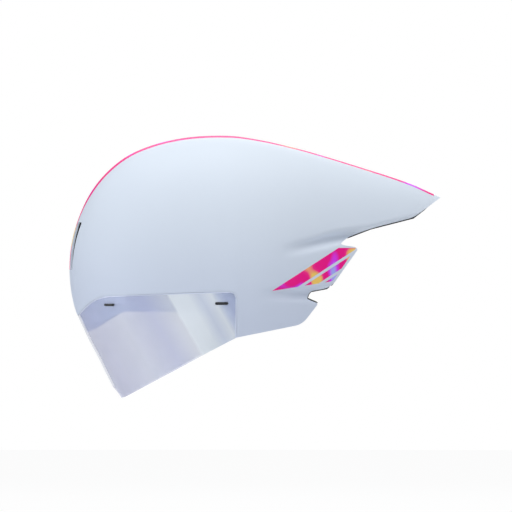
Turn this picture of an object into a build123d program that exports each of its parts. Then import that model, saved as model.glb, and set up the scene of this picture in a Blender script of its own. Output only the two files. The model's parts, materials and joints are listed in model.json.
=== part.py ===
# Aero time trial helmet: long-tailed shell over a foam liner, a magnetic wraparound visor,
# comfort pads, a nape cradle with a rack and pinion dial, and chin straps tucked behind the ear covers.
# Millimetres. The origin is the centre of the wearer's head, the front faces -X, the tail +X, up is +Z.
from build123d import *
import math
import os

os.makedirs("parts", exist_ok=True)

# Head that the helmet is made for
head_length = 192.0
head_breadth = 150.0
head_sides = 20
head_tilt = 22.0
neck_drop_share = 1.6
pad_space = 5.0

# Body of the helmet: a dome swept as a fan about a hub line under the ear, then a tapering tail
half_width = 102.0
crown_height = 126.0
hub_x = 55.0
hub_z = -112.0
tail_reach = 267.0
visor_rake = 26.4
brow_x = -108.2
brow_z = -73.8
overall_length = 385.0
crown_reach = crown_height - hub_z
overrun = 40.0

# Each fan station: angle, reach as a share of the crown's reach, width share
fan_shares = (
    (204, 0, 0.82), (188, 0, 0.865), (176, 0, 0.903), (167, 0.7035, 0.927), (161, 0.766, 0.943),
    (155, 0.821, 0.957), (149, 0.873, 0.968), (143, 0.921, 0.977), (137, 0.963, 0.981),
    (131, 1.001, 0.984), (125, 1.027, 0.987), (118.5, 1.0415, 0.991), (112, 1.0385, 0.994),
    (105, 1.0275, 0.998), (97.5, 1.0135, 1.0), (90, 1.0, 1.0),
)
raked_from_angle = 168
# Each tail station: way from the hub to the tail's end, reach, width
tail_shares = (
    (0.118, 0.982, 0.975), (0.236, 0.958, 0.915), (0.354, 0.930, 0.825), (0.590, 0.866, 0.615),
    (0.825, 0.797, 0.405), (1.000, 0.727, 0.25),
)
# A section's outline: how high the widest place is, how much it draws in below, and its two powers
widest_share = 0.30
tuck_share = 0.07
upward_power = 2.05
across_power = 2.15
side_level_shares = (0.10, 0.26, 0.42, 0.56)
crown_level_shares = (0.86, 0.62, 0.32, 0.0)
inner_base_share = 0.07


def smooth(share):
    share = min(1.0, max(0.0, share))
    return share * share * (3 - 2 * share)


def fullness(share):
    """Half width of a section at a share of its reach, as a share of its greatest half width."""
    if share <= widest_share:
        return 1 - tuck_share + tuck_share * smooth(share / widest_share)
    climb = (share - widest_share) / (1 - widest_share)
    return max(0.0, 1 - climb ** upward_power) ** (1 / across_power)


def section(plane, reach, width, inset):
    """One closed section of the body on its plane, drawn in by an inset."""
    reach, width = reach - inset, width - inset
    levels = list(side_level_shares)
    if inset > 0:
        levels[0] = inner_base_share
    half = [(width * fullness(level), reach * level) for level in levels]
    last = fullness(levels[-1])
    for level in crown_level_shares:
        across = last * level
        climb = (1 - across ** across_power) ** (1 / upward_power)
        share = widest_share + (1 - widest_share) * climb
        half.append((width * across, reach * share))
    points = half + [(-across, up) for across, up in reversed(half[:-1])]
    steps = [step / (len(points) - 1) for step in range(len(points))]
    with BuildSketch(plane) as outline:
        with BuildLine():
            add(Edge.make_spline([Vector(*point) for point in points], parameters=steps))
            Line(points[-1], points[0])
        make_face()
    return outline.sketch.face()


def fan_reach(angle, share):
    """Reach of a fan station; the stations of the visor end on its raked front."""
    if angle < raked_from_angle:
        return share * crown_reach
    lean = math.tan(math.radians(visor_rake))
    turn = math.radians(angle)
    return (brow_x - hub_x + lean * (brow_z - hub_z)) / (math.cos(turn) + lean * math.sin(turn))


def body_stations(inset):
    faces = []
    for angle, share, width_share in fan_shares:
        turn = math.radians(angle)
        ray = Vector(math.cos(turn), 0, math.sin(turn))
        plane = Plane(origin=(hub_x, 0, hub_z), x_dir=(0, 1, 0), z_dir=Vector(0, 1, 0).cross(ray))
        faces.append(section(plane, fan_reach(angle, share), width_share * half_width, inset))
    for way_share, reach_share, width_share in tail_shares:
        station_x = hub_x + way_share * (tail_reach - hub_x)
        plane = Plane(origin=(station_x, 0, hub_z), x_dir=(0, 1, 0), z_dir=(1, 0, 0))
        faces.append(section(plane, reach_share * crown_reach, width_share * half_width, inset))
    return faces


def flank(x, z):
    """Half width of the bare body at a place on the tail's side."""
    way = (x - hub_x) / (tail_reach - hub_x)
    rows = ((0.0, 1.0, 1.0),) + tail_shares
    for low, high in zip(rows, rows[1:]):
        if way <= high[0]:
            break
    mix = (way - low[0]) / (high[0] - low[0])
    reach = crown_reach * (low[1] + mix * (high[1] - low[1]))
    width = half_width * (low[2] + mix * (high[2] - low[2]))
    return width * fullness((z - hub_z) / reach)


# Valleys between the tail, the middle fin and the lower fin: start x and z, end x and z, then the
# depth and the forming radius at each; a depth below nothing keeps an end clear of the surface
upper_valley = dict(start=(94.0, 9.0), end=(172.0, 20.5), depth=(-1.0, 9.2), radius=(15.0, 12.0))
tail_roll = dict(start=(162.0, 18.5), end=(252.0, 44.0), depth=(8.6, -0.5), radius=(12.0, 11.0))
lower_valley = dict(start=(74.0, -38.5), end=(152.0, -32.0), depth=(-1.0, 8.0), radius=(13.0, 11.0))


def bare_form(inset):
    """The form of the whole helmet drawn in by an inset, in ruled strips, without its valleys."""
    with BuildPart() as form:
        loft(sections=body_stations(inset), ruled=True)
    return form.part


def body_form(inset):
    """The bare form with the valleys cut into its sides."""
    with BuildPart() as form:
        add(bare_form(inset))
        for valley in (upper_valley, tail_roll, lower_valley):
            (start_x, start_z), (end_x, end_z) = valley["start"], valley["end"]
            start_radius, end_radius = valley["radius"]
            start_depth, end_depth = valley["depth"]
            start_y = flank(start_x, start_z) + start_radius - start_depth
            end_y = flank(end_x, end_z) + end_radius - end_depth
            for side in (-1, 1):
                start = Vector(start_x, side * start_y, start_z)
                end = Vector(end_x, side * end_y, end_z)
                with Locations(Plane(origin=start, z_dir=end - start)):
                    Cone(
                        start_radius + inset, end_radius + inset, (end - start).length,
                        align=(Align.CENTER, Align.CENTER, Align.MIN), mode=Mode.SUBTRACT,
                    )
    return form.part


# Shell, flange behind the visor, visor
shell_wall = 2.0
flange_drop = 2.8
flange_wall = 1.6
rim_width = 6.0
edge_gap = 0.6
visor_sink = 0.2
visor_wall = 2.0
seat_gap = 0.3
flange_inner = flange_drop + flange_wall

# Side outlines as shares of the overall length, from the front to the tail
visor_edge_shares = (
    (-0.338, -0.196), (-0.2595, -0.1145), (-0.225, -0.101), (-0.070, -0.095), (0.1195, -0.0885),
    (0.133, -0.104), (0.1315, -0.2125),
)
ear_cover_shares = (
    (0.298, -0.179), (0.314, -0.1685), (0.350, -0.122), (0.320, -0.109), (0.324, -0.096),
    (0.332, -0.0885),
)
fin_shares = (
    (0.373, -0.081), (0.3915, -0.069), (0.4575, 0.024), (0.448, 0.030), (0.420, 0.034),
    (0.4095, 0.038),
)
tail_edge_shares = (
    (0.430, 0.056), (0.4915, 0.0795), (0.607, 0.109), (0.6375, 0.1305), (0.6835, 0.1645),
    (0.720, 0.1925),
)
above_shares = ((0.720, 0.39), (-0.39, 0.39), (-0.39, -0.196))
flange_edge_shares = (
    (-0.338, -0.214), (-0.2595, -0.197), (-0.201, -0.1595), (-0.173, -0.143), (0.0505, -0.1455),
    (0.061, -0.1625), (0.061, -0.249), (0.1315, -0.2125),
)
flange_root_shares = (
    (0.140, -0.206), (0.142, -0.090), (0.1225, -0.080), (-0.070, -0.087), (-0.227, -0.093),
    (-0.265, -0.106), (-0.345, -0.188),
)
visor_reach_shares = (
    (0.1325, -0.07), (0.1305, -0.2113), (-0.171, -0.375), (-0.183, -0.3765), (-0.191, -0.3715),
    (-0.196, -0.3625), (-0.215, -0.33), (-0.39, -0.33), (-0.39, -0.07),
)


def side_prism(shares, grow=0.0):
    """A side outline carried across the whole width."""
    with BuildPart() as prism:
        with BuildSketch(Plane.XZ):
            with BuildLine():
                Polyline(*[(x * overall_length, z * overall_length) for x, z in shares], close=True)
            make_face()
            if grow:
                offset(amount=grow, kind=Kind.INTERSECTION)
        extrude(amount=overall_length / 2, both=True)
    return prism.part


shell_shares = visor_edge_shares + ear_cover_shares + fin_shares + tail_edge_shares + above_shares
flange_shares = flange_edge_shares + flange_root_shares

# Front vents: place, widths at the top and bottom, heights
vent_y = 22.0
vent_top_width = 15.0
vent_foot_width = 8.0
vent_top = 37.0
vent_foot = -12.5
vent_round = 3.0


def vent_prisms(grow, depth):
    """Both front vents as prisms that run back from the front."""
    with BuildPart() as vents:
        with BuildSketch(Plane.YZ.offset(-overall_length / 2)):
            with Locations((-vent_y, 0), (vent_y, 0)):
                Polygon(
                    (-vent_top_width / 2, vent_top), (-vent_foot_width / 2, vent_foot),
                    (vent_foot_width / 2, vent_foot), (vent_top_width / 2, vent_top), align=None,
                )
            if grow:
                offset(amount=grow, kind=Kind.INTERSECTION)
            fillet(vertices(), vent_round)
        extrude(amount=depth)
    return vents.part


# Magnets that hold the visor: place, length, height of each pair
magnet_rows = (
    dict(x=-80.6, z=-48.3, length=10.8, height=2.4),
    dict(x=35.5, z=-46.7, length=13.5, height=2.8),
)
magnet_gap = 0.1


def magnet_bars(grow):
    """Obround bars across the helmet at the four magnets."""
    with BuildPart() as bars:
        with BuildSketch(Plane.XZ):
            for row in magnet_rows:
                with Locations((row["x"], row["z"])):
                    SlotOverall(row["length"] + 2 * grow, row["height"] + 2 * grow)
        extrude(amount=overall_length / 2, both=True)
    return bars.part


outer_form = body_form(0)
inner_form = body_form(shell_wall)
flange_form = body_form(flange_drop)
flange_inner_form = body_form(flange_inner)
rim_prism = side_prism(flange_shares, rim_width)

with BuildPart() as flange:
    add(flange_form)
    add(side_prism(flange_shares), mode=Mode.INTERSECT)

with BuildPart() as thin_core:
    add(inner_form)
    add(rim_prism, mode=Mode.SUBTRACT)

with BuildPart() as outer_shell:
    add(outer_form)
    add(side_prism(shell_shares), mode=Mode.INTERSECT)
    add(flange.part)
    add(flange_inner_form, mode=Mode.SUBTRACT)
    add(thin_core.part, mode=Mode.SUBTRACT)
    add(vent_prisms(0, overall_length / 2), mode=Mode.SUBTRACT)
    add(magnet_bars(magnet_gap), mode=Mode.SUBTRACT)

with BuildPart() as shell_magnets:
    add(flange_form)
    add(magnet_bars(0), mode=Mode.INTERSECT)
    add(flange_inner_form, mode=Mode.SUBTRACT)

# Visor: a wall just below the shell's surface, with a nose arch and a slot round each magnet
nose_arch_width = 52.0
nose_arch_height = 13.0
nose_base_z = -146.0

visor_form = body_form(visor_sink)
visor_inner_form = body_form(visor_sink + visor_wall)

with BuildPart() as visor:
    add(visor_form)
    with BuildSketch(Plane.XZ):
        Polygon(*[(x * overall_length, z * overall_length) for x, z in visor_reach_shares], align=None)
        with BuildSketch(mode=Mode.PRIVATE) as shell_side:
            Polygon(*[(x * overall_length, z * overall_length) for x, z in shell_shares], align=None)
            offset(amount=edge_gap, kind=Kind.INTERSECTION)
        add(shell_side.sketch, mode=Mode.SUBTRACT)
    extrude(amount=overall_length / 2, both=True, mode=Mode.INTERSECT)
    add(visor_inner_form, mode=Mode.SUBTRACT)
    with BuildSketch(Plane.YZ.offset(-overall_length / 2)):
        with Locations((0, nose_base_z)):
            Ellipse(nose_arch_width / 2, nose_arch_height)
    extrude(amount=overall_length / 2, mode=Mode.SUBTRACT)
    add(magnet_bars(magnet_gap), mode=Mode.SUBTRACT)

with BuildPart() as visor_magnets:
    add(visor_form)
    add(magnet_bars(0), mode=Mode.INTERSECT)
    add(visor_inner_form, mode=Mode.SUBTRACT)

# Liner: expanded foam inside the shell, hollowed for the head and in the tail
cavity_gap = pad_space
bulkhead = 20.0
tail_wall = 15.5
tail_hollow_front = 70.0
lining_wall = 3.0
lining_top = -22.0
ear_pocket_inset = 8.0
nape_half_width = 62.0
nape_top = 2.0
nape_front = 58.0

liner_shares = (
    (-0.39, -0.14), (-0.195, -0.130), (-0.161, -0.117), (0.1506, -0.117), (0.1506, -0.196),
    (0.298, -0.1665), (0.309, -0.159), (0.3405, -0.1255), (0.3495, -0.119), (0.3225, -0.1075),
    (0.3255, -0.0985), (0.331, -0.0915), (0.3735, -0.0835), (0.3885, -0.0725), (0.4525, 0.0205),
    (0.447, 0.027), (0.418, 0.031), (0.4065, 0.0385), (0.429, 0.0585), (0.431, 0.053),
    (0.4925, 0.0765), (0.608, 0.106), (0.6385, 0.1295), (0.668, 0.159), (0.668, 0.39), (-0.39, 0.39),
)

head_plane = Plane(
    origin=(0, 0, 0),
    x_dir=(math.cos(math.radians(head_tilt)), 0, math.sin(math.radians(head_tilt))),
    z_dir=(-math.sin(math.radians(head_tilt)), 0, math.cos(math.radians(head_tilt))),
)


def head_form(gap):
    """The head grown by a gap: a spheroid turned about the line of the ears, over a straight neck."""
    length, breadth = head_length / 2 + gap, head_breadth / 2 + gap
    turns = [math.pi * (side / head_sides - 0.5) for side in range(head_sides + 1)]
    half = [(length * math.cos(turn), breadth * math.sin(turn)) for turn in turns]
    with BuildPart() as head:
        with BuildSketch(Plane.XY):
            Polygon(*half, align=None)
        revolve(axis=Axis((0, 0, 0), (0, -1, 0)), revolution_arc=180)
        with BuildSketch(Plane.XY):
            Polygon(*half, *[(-across, along) for across, along in reversed(half[1:-1])], align=None)
        extrude(amount=-neck_drop_share * length)
    return head.part.moved(head_plane.location)


with BuildPart() as tail_hollow:
    add(bare_form(tail_wall))
    with BuildSketch(Plane.XZ):
        with Locations((tail_hollow_front, hub_z - overrun)):
            Rectangle(overall_length, overall_length, align=(Align.MIN, Align.MIN))
    extrude(amount=overall_length, both=True, mode=Mode.INTERSECT)
    add(head_form(cavity_gap + bulkhead), mode=Mode.SUBTRACT)


# Nape cradle: a yoke behind the head that tilts about the temples, with two curved racks and a dial.
# Radii are taken about the cradle's upright axis, heights from its middle plane.
cradle_tilt = 13.0
cradle_x = 22.2
cradle_z = -13.1
temple_angle = 112.0
pad_inner_radius = 76.0
plate_inner_radius = 81.0
plate_outer_radius = 82.5
band_inner_radius = 82.8
band_outer_radius = 84.8
rim_outer_radius = 85.0
cover_inner_radius = 85.3
cover_outer_radius = 88.0
yoke_half_angle = 26.0
yoke_half_height = 11.0
rim_height = 2.6
band_half_height = 7.5
band_end_half_height = 5.0
band_end_angle = 122.0
band_wide_angle = 33.0
running_gap = 0.05

gear_module = 0.8
gear_teeth = 10
pressure_angle = 25.0
addendum = 0.64
dedendum = 0.84
backlash = 0.12
rack_teeth = 12
pitch_radius = gear_module * gear_teeth / 2
tooth_pitch = math.pi * gear_module

cradle_out = Vector(math.cos(math.radians(cradle_tilt)), 0, -math.sin(math.radians(cradle_tilt)))
cradle_up = Vector(math.sin(math.radians(cradle_tilt)), 0, math.cos(math.radians(cradle_tilt)))
cradle_centre = Vector(cradle_x, 0, cradle_z)
band_middle_radius = (band_inner_radius + band_outer_radius) / 2
temple_back = band_middle_radius * math.cos(math.radians(temple_angle))
temple_side = band_middle_radius * math.sin(math.radians(temple_angle))
temple_centre = cradle_centre + cradle_out * temple_back
mouth_plane = Plane(origin=cradle_centre, x_dir=(0, 1, 0), z_dir=cradle_out)


def outward(angle):
    """Direction away from the cradle's upright axis; zero is straight back, positive to +Y."""
    turn = math.radians(angle)
    return cradle_out * math.cos(turn) + Vector(0, 1, 0) * math.sin(turn)


def arc_bar(inner, outer, low, high, start, end):
    """A bar of rectangular section bent round the cradle's upright axis."""
    away = outward(start)
    with BuildPart() as bar:
        with BuildSketch(Plane(origin=cradle_centre, x_dir=away, z_dir=away.cross(cradle_up))):
            with Locations(((inner + outer) / 2, (low + high) / 2)):
                Rectangle(outer - inner, high - low)
        revolve(axis=Axis(cradle_centre, cradle_up), revolution_arc=end - start)
    return bar.part


def tilt_bar(inner, outer, half_width_y, start, end):
    """A bar bent round the temple axis; angles are elevations seen from the temples."""
    turn = math.radians(start)
    away = Vector(math.cos(turn), 0, math.sin(turn))
    with BuildPart() as bar:
        with BuildSketch(Plane(origin=temple_centre, x_dir=away, z_dir=away.cross(Vector(0, 1, 0)))):
            with Locations(((inner + outer) / 2, 0)):
                Rectangle(outer - inner, 2 * half_width_y)
        revolve(axis=Axis(temple_centre, (0, -1, 0)), revolution_arc=end - start)
    return bar.part


# Tongue of the yoke and the keeper that it slides in
tongue_half_width = 7.0
tongue_top_angle = 13.0
tongue_gap = 0.3
keeper_wall = 2.0
keeper_start_angle = 1.0
keeper_end_angle = 9.0
tongue_inner = plate_inner_radius - temple_back
tongue_outer = plate_outer_radius - temple_back

# Dial: knob, pinion and screw on the cradle's outward axis
shaft_radius = 3.0
journal_radius = 1.8
knob_radius = 17.0
knob_start = 88.6
knob_depth = 9.0
knob_bore_depth = 5.0
grip_count = 10
grip_radius = 3.2
grip_bite = 1.4
screw_head_radius = 3.4
screw_head_depth = 2.0
screw_shank_radius = 1.25
screw_length = 8.0
pinion_start = 82.9
pinion_end = 84.7


def involute(angle):
    return math.tan(angle) - angle


def tooth_half_angle(radius):
    """Half of a pinion tooth's angle at a radius, on an involute flank."""
    base = pitch_radius * math.cos(math.radians(pressure_angle))
    flank_angle = math.acos(min(1.0, base / radius))
    at_pitch = (tooth_pitch - backlash) / 4 / pitch_radius
    return at_pitch + involute(math.radians(pressure_angle)) - involute(flank_angle)


with BuildPart() as dial_pinion:
    with BuildSketch(mouth_plane.offset(pinion_start)):
        base_radius = pitch_radius * math.cos(math.radians(pressure_angle))
        root_radius = pitch_radius - dedendum
        tip_radius = pitch_radius + addendum
        flank_radii = (root_radius, base_radius, pitch_radius, tip_radius)
        corners = []
        for tooth in range(gear_teeth):
            middle = math.radians(90 + tooth * 360 / gear_teeth)
            rising = [(radius, middle - tooth_half_angle(radius)) for radius in flank_radii]
            falling = [(radius, middle + tooth_half_angle(radius)) for radius in reversed(flank_radii)]
            corners += [(r * math.cos(a), r * math.sin(a)) for r, a in rising + falling]
        Polygon(*corners, align=None)
    extrude(amount=pinion_end - pinion_start)
    with BuildSketch(mouth_plane.offset(plate_inner_radius)):
        Circle(journal_radius)
    extrude(amount=pinion_start - plate_inner_radius)
    with BuildSketch(mouth_plane.offset(pinion_end)):
        Circle(shaft_radius)
    extrude(amount=knob_start + knob_bore_depth - pinion_end)
    with BuildSketch(mouth_plane.offset(knob_start + knob_bore_depth)):
        Circle(screw_shank_radius + running_gap)
    extrude(amount=-screw_length, mode=Mode.SUBTRACT)

with BuildPart() as dial_knob:
    with BuildSketch(mouth_plane.offset(knob_start)):
        Circle(knob_radius)
        with PolarLocations(knob_radius + grip_radius - grip_bite, grip_count):
            Circle(grip_radius, mode=Mode.SUBTRACT)
    extrude(amount=knob_depth)
    chamfer(faces().sort_by(Axis(cradle_centre, cradle_out))[-1].edges(), knob_depth / 9)
    with BuildSketch(mouth_plane.offset(knob_start)):
        Circle(shaft_radius + running_gap)
    extrude(amount=knob_bore_depth + running_gap, mode=Mode.SUBTRACT)
    with BuildSketch(mouth_plane.offset(knob_start + knob_depth)):
        Circle(screw_head_radius + seat_gap)
    extrude(amount=-screw_head_depth, mode=Mode.SUBTRACT)
    with BuildSketch(mouth_plane.offset(knob_start + knob_depth)):
        Circle(screw_shank_radius + running_gap)
    extrude(amount=-knob_depth, mode=Mode.SUBTRACT)

with BuildPart() as dial_screw:
    with BuildSketch(mouth_plane.offset(knob_start + knob_depth - screw_head_depth)):
        Circle(screw_head_radius)
    extrude(amount=screw_head_depth)
    with BuildSketch(mouth_plane.offset(knob_start + knob_depth)):
        RegularPolygon(screw_shank_radius, 6)
    extrude(amount=-screw_head_depth / 2, mode=Mode.SUBTRACT)
    with BuildSketch(mouth_plane.offset(knob_start + knob_depth - screw_head_depth)):
        Circle(screw_shank_radius)
    extrude(amount=-screw_length / 2)

with BuildPart() as cradle_yoke:
    half = yoke_half_angle
    add(arc_bar(plate_inner_radius, plate_outer_radius, -yoke_half_height, yoke_half_height, -half, half))
    rim_low = yoke_half_height - rim_height
    add(arc_bar(plate_outer_radius, rim_outer_radius, rim_low, yoke_half_height, -half, half))
    add(arc_bar(plate_outer_radius, rim_outer_radius, -yoke_half_height, -rim_low, -half, half))
    add(tilt_bar(tongue_inner, tongue_outer, tongue_half_width, -cradle_tilt, tongue_top_angle))
    with BuildSketch(mouth_plane):
        Circle(journal_radius + running_gap)
    extrude(amount=plate_outer_radius, mode=Mode.SUBTRACT)

with BuildPart() as dial_cover:
    add(arc_bar(cover_inner_radius, cover_outer_radius, -yoke_half_height, yoke_half_height, -half, half))
    with BuildSketch(mouth_plane):
        Circle(shaft_radius + running_gap)
    extrude(amount=knob_start, mode=Mode.SUBTRACT)

with BuildPart() as height_keeper:
    add(tilt_bar(
        tongue_inner - tongue_gap - keeper_wall, tongue_outer + tongue_gap + keeper_wall,
        tongue_half_width + tongue_gap + keeper_wall, keeper_start_angle, keeper_end_angle,
    ))
    add(tilt_bar(
        tongue_inner - tongue_gap, tongue_outer + tongue_gap, tongue_half_width + tongue_gap,
        keeper_start_angle - cradle_tilt, keeper_end_angle + cradle_tilt,
    ), mode=Mode.SUBTRACT)


def curved_band(side):
    """One band: temple end, wide part and rack arm, teeth towards the pinion; +1 is the wearer's right."""
    root = pitch_radius + dedendum
    rack_reach = rack_teeth * tooth_pitch / 2
    rack_angle = math.degrees(rack_reach / band_middle_radius)
    level = -side
    spans = (
        (-band_end_half_height, band_end_half_height, 70.0, band_end_angle),
        (-band_half_height, band_half_height, band_wide_angle, 72.0),
        (min(level * root, level * band_half_height), max(level * root, level * band_half_height),
         -rack_angle, band_wide_angle),
    )
    with BuildPart() as band:
        for low, high, near, far in spans:
            start, end = (near, far) if side > 0 else (-far, -near)
            add(arc_bar(band_inner_radius, band_outer_radius, low, high, start, end))
        for tooth in range(rack_teeth):
            way = (tooth + 0.5 - rack_teeth / 2) * tooth_pitch
            angle = math.degrees(way / band_middle_radius)
            away = outward(angle)
            slope = math.tan(math.radians(pressure_angle))
            at_pitch = (tooth_pitch - backlash) / 4
            tip = at_pitch - slope * addendum
            foot = at_pitch + slope * (dedendum + backlash)
            with BuildSketch(Plane(origin=cradle_centre, x_dir=cradle_up.cross(away), z_dir=away)
                             .offset(band_inner_radius)):
                Polygon(
                    (-tip, level * (pitch_radius - addendum)), (tip, level * (pitch_radius - addendum)),
                    (foot, level * (root + backlash)), (-foot, level * (root + backlash)), align=None,
                )
            extrude(amount=band_outer_radius - band_inner_radius)
    return band.part


band_left = curved_band(-1)
band_right = curved_band(1)

# Temple guides that the bands slide through, and the anchors that hold them to the liner
guide_half_angle = 4.0
guide_half_height = 8.0
guide_inner_radius = 80.8
guide_outer_radius = 88.2
guide_slot_gap = 0.3
guide_pin_radius = 2.0
anchor_radius = 7.0
anchor_start = 84.3
anchor_end = 91.0


def temple_plane(side):
    """Plane across the temple axis, looking out to one side."""
    return Plane(origin=temple_centre, x_dir=(1, 0, 0), z_dir=(0, side, 0))


def temple_guide(side):
    near, far = temple_angle - guide_half_angle, temple_angle + guide_half_angle
    start, end = (near, far) if side > 0 else (-far, -near)
    slot = band_end_half_height + guide_slot_gap
    with BuildPart() as guide:
        add(arc_bar(guide_inner_radius, guide_outer_radius, -guide_half_height, guide_half_height, start, end))
        add(arc_bar(
            band_inner_radius - guide_slot_gap, band_outer_radius + guide_slot_gap, -slot, slot,
            start - guide_half_angle, end + guide_half_angle,
        ), mode=Mode.SUBTRACT)
        with BuildSketch(temple_plane(side).offset(temple_side)):
            Circle(guide_pin_radius + running_gap)
        extrude(amount=anchor_radius, mode=Mode.SUBTRACT)
    return guide.part


def temple_anchor(side):
    plane = temple_plane(side)
    pin_start = temple_side + (band_outer_radius - band_inner_radius) + guide_slot_gap
    with BuildPart() as anchor:
        with BuildSketch(plane.offset(anchor_start)):
            Circle(anchor_radius)
        extrude(amount=anchor_end - anchor_start)
        with BuildSketch(plane.offset(pin_start)):
            Circle(guide_pin_radius)
        extrude(amount=anchor_start - pin_start)
    return anchor.part


# What else is cut into the liner
channel_inner_radius = 76.0
channel_outer_radius = 89.0
channel_low = -15.0
channel_high = 18.5
channel_end_angle = 126.0
ear_pocket_x = 16.0
ear_pocket_z = -34.0
ear_pocket_length = 76.0
ear_pocket_height = 46.0
lining_front = 20.0
groove_radius = 111.0
groove_foot = -12.0
exhaust_z = 34.0
exhaust_height = 38.0
side_exhaust_y = 48.0
side_exhaust_z = 24.0
side_exhaust_height = 28.0
side_exhaust_width = 13.0
keeper_pocket_low = -8.0
keeper_pocket_high = 21.0
keeper_pocket_depth = 2.0

# Chin straps: webbing, anchors under the liner, dividers and buckle halves, all tucked behind the ear covers
strap_y = 83.0
strap_thickness = 1.2
strap_width = 16.0
front_anchor_x = 66.0
rear_anchor_x = 90.0
strap_anchor_width = 18.0
strap_anchor_height = 6.0
strap_anchor_depth = 4.0
anchor_pin_radius = 1.8
anchor_pin_length = 12.0
divider_x = 79.0
divider_z = -53.0
divider_length = 26.0
divider_height = 15.0
divider_depth = 4.0
buckle_x = 43.0
buckle_z = -68.0
buckle_length = 28.0
buckle_height = 21.0
buckle_depth = 6.5
strap_gap = 0.3


with BuildPart() as rim_keepout:
    add(side_prism(flange_shares, rim_width + seat_gap))
    add(body_form(flange_inner + seat_gap), mode=Mode.SUBTRACT)

with BuildPart() as ear_room:
    add(body_form(shell_wall + seat_gap + lining_wall))
    with BuildSketch(Plane.XZ):
        with Locations((lining_front, lining_top)):
            Rectangle(overall_length, overall_length, align=(Align.MIN, Align.MAX))
    extrude(amount=overall_length, both=True, mode=Mode.INTERSECT)

with BuildPart() as ear_pockets:
    add(body_form(ear_pocket_inset))
    with BuildSketch(Plane.XZ):
        with Locations((ear_pocket_x, ear_pocket_z)):
            Ellipse(ear_pocket_length / 2, ear_pocket_height / 2)
    extrude(amount=overall_length, both=True, mode=Mode.INTERSECT)


groove_half = vent_top_width / 2
with BuildPart() as grooves:
    for side in (-1, 1):
        with BuildSketch(Plane.XZ.offset(side * vent_y - groove_half)):
            Circle(groove_radius)
            with Locations((0, groove_foot)):
                Rectangle(overall_length, overall_length, align=(Align.CENTER, Align.MIN), mode=Mode.INTERSECT)
        extrude(amount=vent_top_width)

with BuildPart() as exhausts:
    with BuildSketch(Plane.YZ.offset(nape_front)):
        with Locations((-vent_y, exhaust_z), (vent_y, exhaust_z)):
            SlotOverall(exhaust_height, vent_top_width, rotation=90)
        with Locations((-side_exhaust_y, side_exhaust_z), (side_exhaust_y, side_exhaust_z)):
            SlotOverall(side_exhaust_height, side_exhaust_width, rotation=90)
    extrude(amount=channel_outer_radius)

with BuildPart() as nape_opening:
    with BuildSketch(Plane.XY.offset(nape_top)):
        with Locations((nape_front, 0)):
            Rectangle(overall_length, 2 * nape_half_width, align=(Align.MIN, Align.CENTER))
    extrude(amount=-overall_length)

with BuildPart() as temple_bores:
    for side in (-1, 1):
        with BuildSketch(temple_plane(side).offset(temple_side)):
            Circle(anchor_radius + seat_gap)
        extrude(amount=anchor_end + seat_gap - temple_side)

with BuildPart() as anchor_pin_holes:
    for side in (-1, 1):
        with BuildSketch(Plane.XY.offset(lining_top)):
            with Locations((front_anchor_x, side * strap_y), (rear_anchor_x, side * strap_y)):
                Circle(anchor_pin_radius + running_gap)
        extrude(amount=anchor_pin_length)

channel = arc_bar(
    channel_inner_radius, channel_outer_radius, channel_low, channel_high,
    -channel_end_angle, channel_end_angle,
)
keeper_pocket = tilt_bar(
    tongue_inner - tongue_gap - keeper_wall - keeper_pocket_depth,
    tongue_outer + tongue_gap + keeper_wall + seat_gap,
    tongue_half_width + tongue_gap + keeper_wall + seat_gap, keeper_pocket_low, keeper_pocket_high,
)

with BuildPart() as eps_liner:
    add(body_form(shell_wall + seat_gap))
    add(side_prism(liner_shares), mode=Mode.INTERSECT)
    for hollow in (
        head_form(cavity_gap), tail_hollow.part, rim_keepout.part, ear_room.part, ear_pockets.part,
        nape_opening.part, channel, keeper_pocket, vent_prisms(0, overall_length / 2), grooves.part,
        exhausts.part, temple_bores.part, anchor_pin_holes.part,
    ):
        add(hollow, mode=Mode.SUBTRACT)


# Comfort pads: flat foam strips bent round the head, each on a chord of the liner's cavity
pad_thickness = 2.8
pad_seat = 0.8
cavity_length = head_length / 2 + pad_space
cavity_breadth = head_breadth / 2 + pad_space
crown_pad_levels = ((-50.0, -30.0), (-10.0, 10.0), (30.0, 50.0))
crown_pad_turn = 32.0
brow_pad_level = 13.0
brow_pad_offset = 34.0
brow_pad_turn = 50.0
side_pad_low = 27.0
side_pad_high = 53.0
side_pad_offset = -37.4
side_pad_turn = 19.0
nape_pad_half_angle = 24.0
nape_pad_half_height = 10.0


def bent_pad(away, up, reach, half, low, high, offset, half_turn):
    """A strip between two levels along up, bent round an axis that lies offset from the head's centre."""
    start, end = [reach * math.sqrt(1 - (level / half) ** 2) for level in (low, high)]
    lean = math.degrees(math.atan2(start - end, high - low))
    hinge = Axis(away * offset, up)
    first = away.rotate(Axis((0, 0, 0), up), -half_turn)
    with BuildPart() as pad:
        with BuildSketch(Plane(origin=hinge.position, x_dir=first, z_dir=first.cross(up))):
            with Locations(((start + end) / 2 - offset - pad_seat, (low + high) / 2)):
                Rectangle(pad_thickness, high - low, rotation=lean, align=(Align.MAX, Align.CENTER))
        revolve(axis=hinge, revolution_arc=2 * half_turn)
    return pad.part


def side_pad(side):
    return bent_pad(
        head_plane.y_dir * side, head_plane.z_dir, cavity_breadth, cavity_length, side_pad_low,
        side_pad_high, side_pad_offset, side_pad_turn,
    )


brow_pad = bent_pad(
    -head_plane.x_dir, head_plane.z_dir, cavity_length, cavity_length, -brow_pad_level, brow_pad_level,
    brow_pad_offset, brow_pad_turn,
)
with BuildPart() as crown_pads:
    for low, high in crown_pad_levels:
        add(bent_pad(
            head_plane.z_dir, head_plane.y_dir, cavity_length, cavity_breadth, low, high, 0,
            crown_pad_turn,
        ))

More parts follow.
